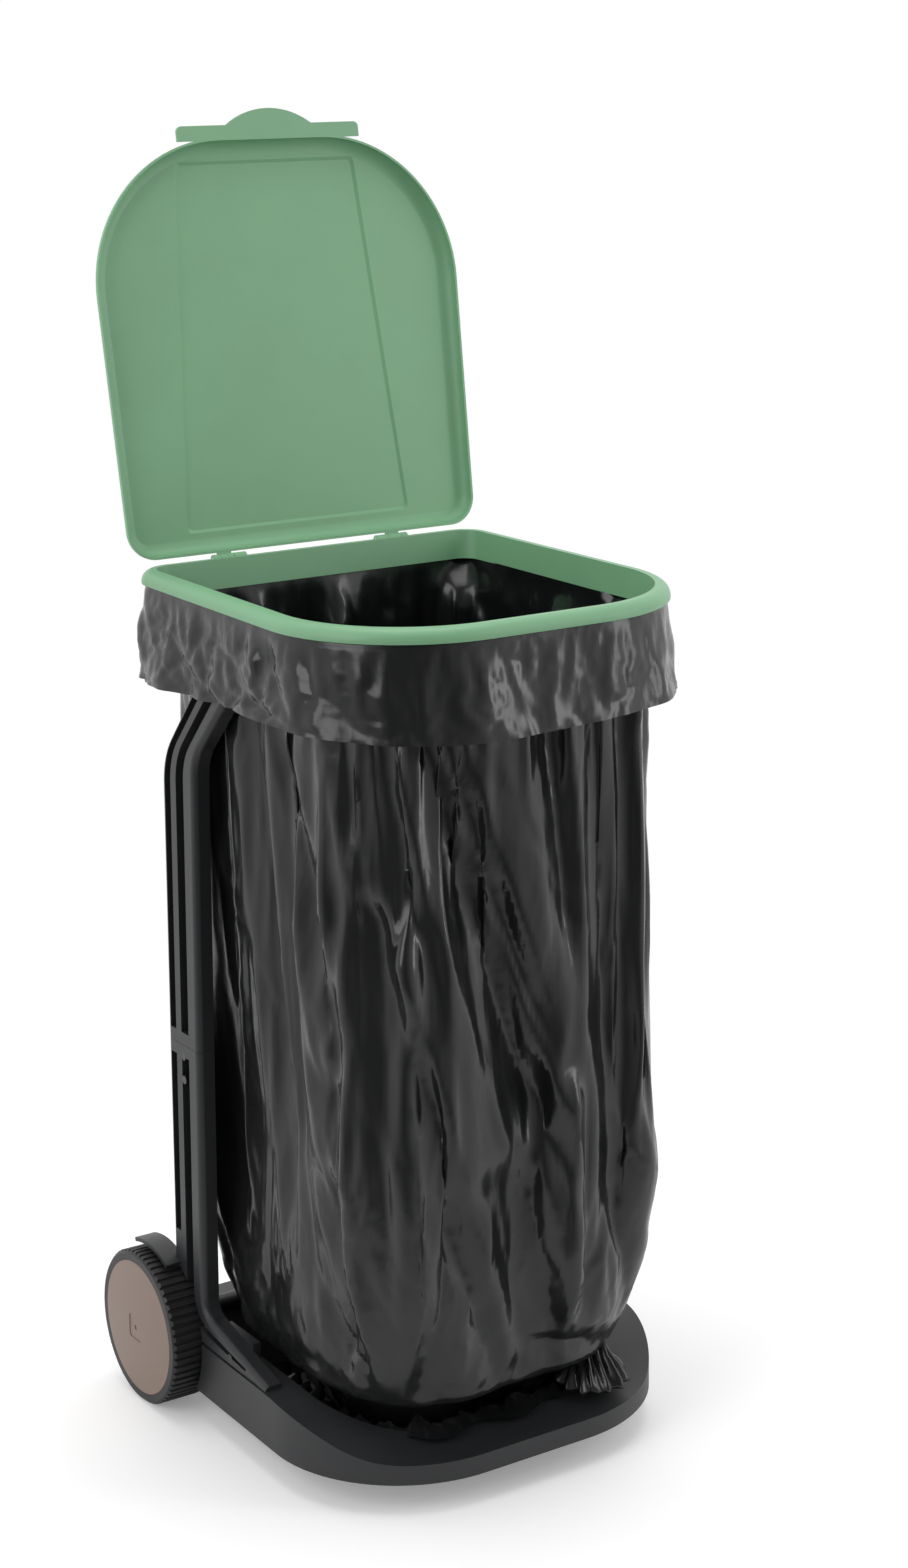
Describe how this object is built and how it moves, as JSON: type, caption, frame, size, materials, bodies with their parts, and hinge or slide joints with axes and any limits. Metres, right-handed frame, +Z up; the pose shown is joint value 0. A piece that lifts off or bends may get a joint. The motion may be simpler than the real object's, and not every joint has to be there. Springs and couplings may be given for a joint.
{
  "type": "bin bag holder",
  "caption": "Free-standing bin bag holder: tray on two wheels, side brackets, frame ring with a clamp ring and hinged lid, black bag hung inside with its collar turned down",
  "frame": {"origin": "On the floor under the middle of the tray's flat foot and the clamp ring's centre", "axes": "+X to the right seen from the front, -Y towards the front of the holder (the wheels and lid hinge are at +Y), +Z up"},
  "size_m": [0.4426, 0.4912, 1.2257],
  "materials": {
    "ring_green": "satin moulded polypropylene, mid green",
    "black_plastic": "satin black moulded polypropylene",
    "bag_film": "thin glossy black polyethylene film",
    "steel": "plain steel",
    "black_screw": "blackened steel",
    "wheel_black": "satin black moulded plastic with a ribbed tread",
    "cap_bronze": "satin bronze-brown moulded plastic"
  },
  "bodies": {
    "stand": {"base_tray": "black_plastic", "axle": "steel", "support_frame": "black_plastic", "bin_bag": "bag_film", "upper_post_left": "black_plastic", "upper_post_right": "black_plastic", "lower_post_left": "black_plastic", "lower_post_right": "black_plastic", "axle_clip_left": "steel", "axle_clip_right": "steel", "joint_screws_left": "black_screw", "joint_screws_right": "black_screw", "foot_screws_left": "black_screw", "foot_screws_right": "black_screw", "frame_screws_left": "black_screw", "frame_screws_right": "black_screw"},
    "ring": {"clamp_ring": "ring_green", "hinge_pin_left": "steel", "hinge_pin_right": "steel"},
    "lid": {"lid": "ring_green"},
    "wheel_left": {"wheel_left": "wheel_black", "hub_cap_left": "cap_bronze"},
    "wheel_right": {"wheel_right": "wheel_black", "hub_cap_right": "cap_bronze"}
  },
  "joints": [
    {"name": "ring_lift", "type": "slide", "parent": "stand", "child": "ring", "axis": [0, 0, 1], "range_m": [0, 0.05]},
    {"name": "lid_hinge", "type": "hinge", "parent": "ring", "child": "lid", "pos_m": [0, 0.199, 0.8111], "axis": [1, 0, 0], "range_deg": [0, 98.9]},
    {"name": "wheel_left_spin", "type": "hinge", "parent": "stand", "child": "wheel_left", "pos_m": [-0.196, 0.184, 0.075], "axis": [1, 0, 0], "continuous": true},
    {"name": "wheel_right_spin", "type": "hinge", "parent": "stand", "child": "wheel_right", "pos_m": [0.196, 0.184, 0.075], "axis": [1, 0, 0], "continuous": true}
  ]
}
